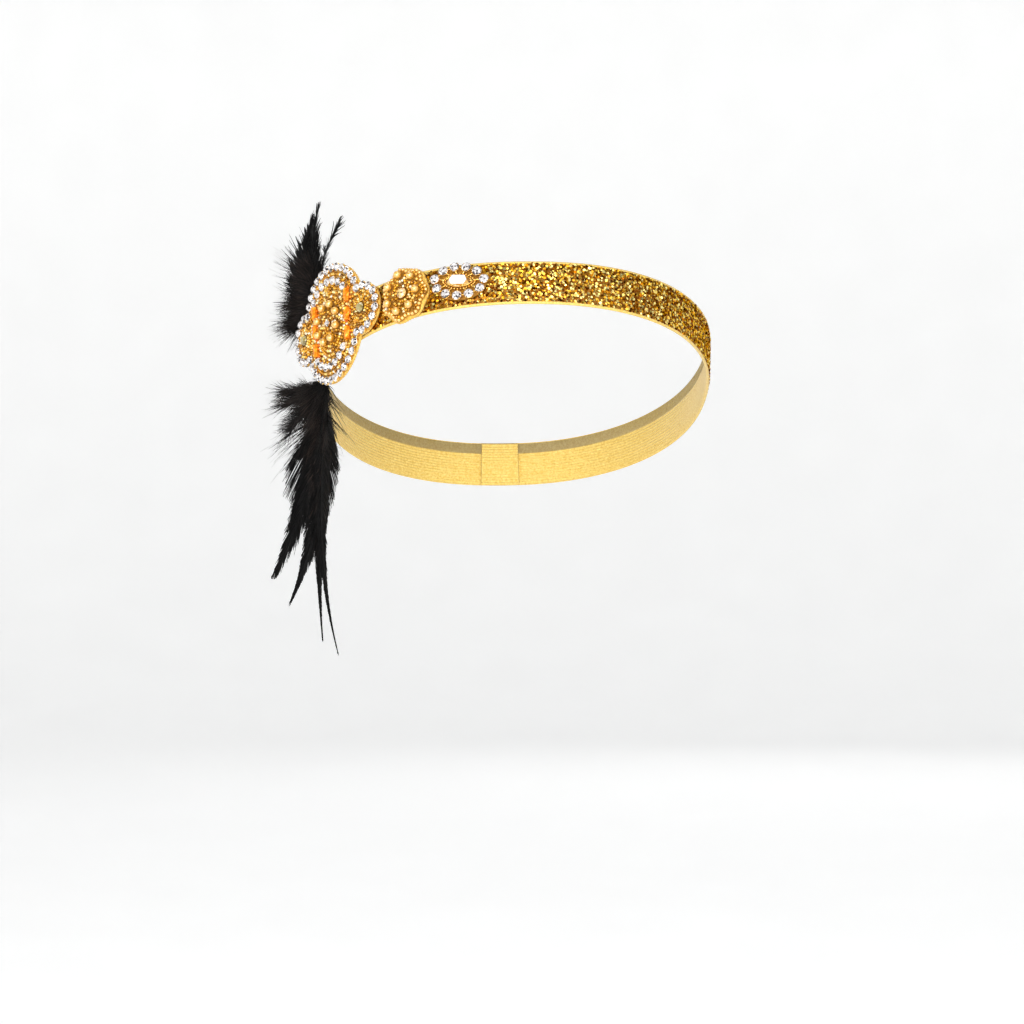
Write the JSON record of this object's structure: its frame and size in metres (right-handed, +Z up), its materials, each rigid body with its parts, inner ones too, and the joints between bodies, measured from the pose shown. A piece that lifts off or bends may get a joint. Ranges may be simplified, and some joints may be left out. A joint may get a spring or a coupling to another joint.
{
  "type": "flapper feather headband",
  "caption": "Loop of gold glitter elastic worn round the head, with beaded and rhinestone motifs over one temple and black feather plumes above and below them.",
  "frame": {"origin": "the middle of the loop, where the head sits, level with the band's outer face at both sides of the head", "axes": "+Z up with the wearer upright, the wearer faces -Y, and +X is the wearer's left; the motifs and plumes are on the -X side"},
  "size_m": [0.1924, 0.2045, 0.2017],
  "materials": {
    "glitter_elastic": "woven elastic faced with coarse gold glitter, smooth yellow selvedges",
    "gold_felt": "gold felt backing",
    "rhinestone": "clear foil-backed cut stones in small gold cups",
    "champagne_stone": "pale foil-backed cut stone",
    "smoky_stone": "olive brown cut stone",
    "seed_bead": "gold and amber glass seed beads",
    "gold_pearl": "golden pearl lustre",
    "orange_bead": "translucent orange bugle bead",
    "gold_setting": "bright gold plate",
    "black_feather": "soft black feather, brownish wisps"
  },
  "bodies": {
    "root": {"elastic_band": "glitter_elastic", "large_felt": "gold_felt", "large_outer_stones": "rhinestone", "large_inner_stones_top": "rhinestone", "large_inner_stones_bottom": "rhinestone", "large_bead_field": "seed_bead", "large_pearl_1": "gold_pearl", "large_pearl_2": "gold_pearl", "large_pearl_3": "gold_pearl", "large_pearl_4": "gold_pearl", "large_pearl_5": "gold_pearl", "large_pearl_6": "gold_pearl", "large_pearl_7": "gold_pearl", "large_pearl_8": "gold_pearl", "large_crystal": "rhinestone", "orange_bead_rear_1": "orange_bead", "orange_bead_rear_2": "orange_bead", "orange_bead_rear_3": "orange_bead", "orange_bead_front_1": "orange_bead", "orange_bead_front_2": "orange_bead", "orange_bead_front_3": "orange_bead", "rosette_front": "seed_bead", "smoky_stone_front": "smoky_stone", "rosette_rear": "seed_bead", "smoky_stone_rear": "smoky_stone", "flower_felt": "gold_felt", "flower_petals": "seed_bead", "flower_pearl_1": "gold_pearl", "flower_pearl_2": "gold_pearl", "flower_pearl_3": "gold_pearl", "flower_pearl_4": "gold_pearl", "flower_pearl_5": "gold_pearl", "flower_pearl_6": "gold_pearl", "flower_pearl_7": "gold_pearl", "flower_stone": "champagne_stone", "leaf_felt": "gold_felt", "leaf_stones": "rhinestone", "navette_setting": "gold_setting", "navette_stone": "champagne_stone", "upper_plume": "black_feather", "lower_plume": "black_feather"}
  },
  "joints": []
}
